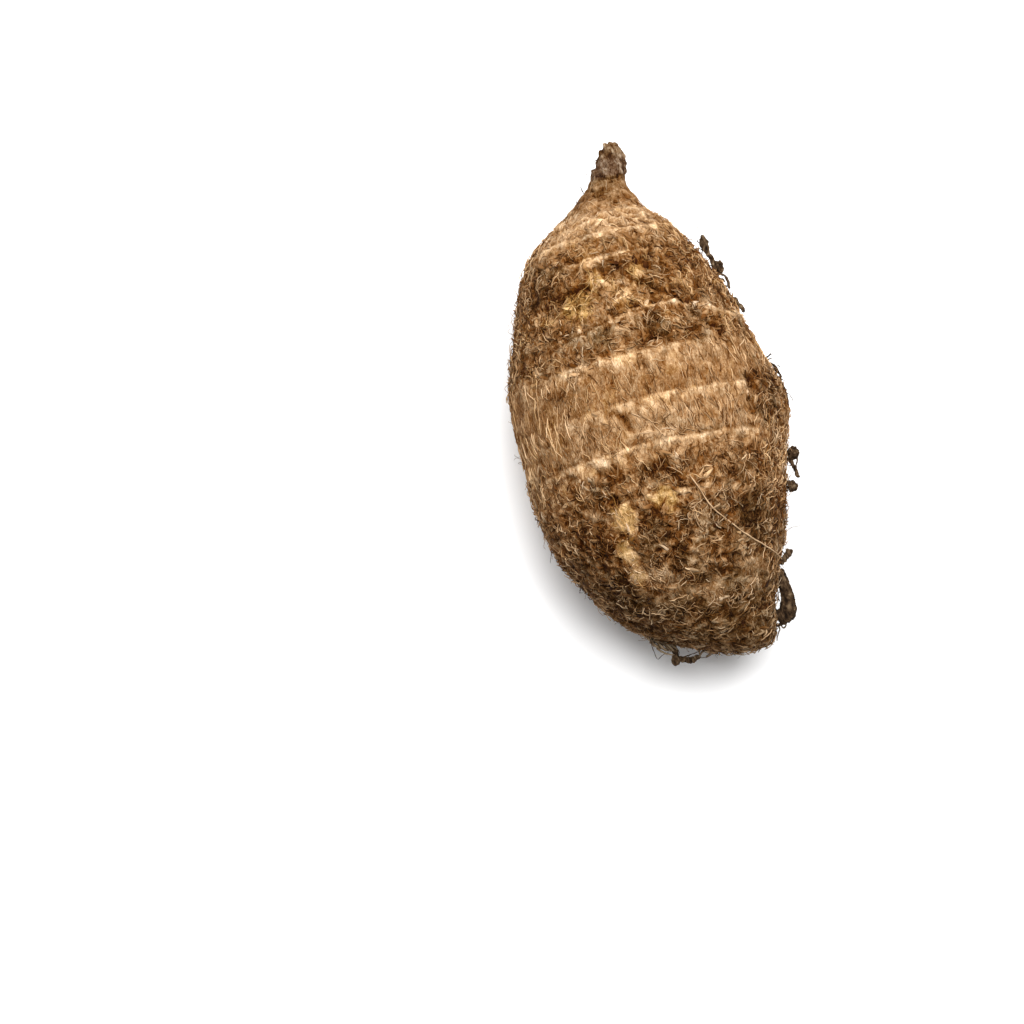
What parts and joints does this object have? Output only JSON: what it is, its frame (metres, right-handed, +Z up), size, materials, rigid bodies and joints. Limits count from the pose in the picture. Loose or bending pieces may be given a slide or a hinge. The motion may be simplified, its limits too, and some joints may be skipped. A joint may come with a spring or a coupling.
{
  "type": "taro root",
  "caption": "Whole taro corm lying on its side: plump oval body ringed with leaf scars, coarse fibrous brown skin, pointed neck with a withered stub, dead root ends and crumbs of soil.",
  "frame": {"origin": "the middle of the footprint's box on the surface that the corm lies on", "axes": "+Y along the corm towards its neck and stub, +Z up, +X to the side that carries the dead roots"},
  "size_m": [0.0609, 0.1194, 0.0531],
  "materials": {
    "fibrous_skin": "matt, a dense coat of dry tan and brown fibres lying along the corm, with pale leaf-scar rings",
    "dead_root": "matt, dark brown withered bark with fine wrinkles",
    "dry_soil": "matt, crumbly dark earth"
  },
  "bodies": {
    "root": {"corm": "fibrous_skin", "thick_root": "dead_root", "hook_root": "dead_root", "crumb_rootlet": "dead_root", "side_root": "dead_root", "upper_root": "dead_root", "base_rootlet": "dead_root", "rooted_crumb": "dry_soil", "soil_crumb": "dry_soil", "soil_bead": "dry_soil"}
  },
  "joints": []
}
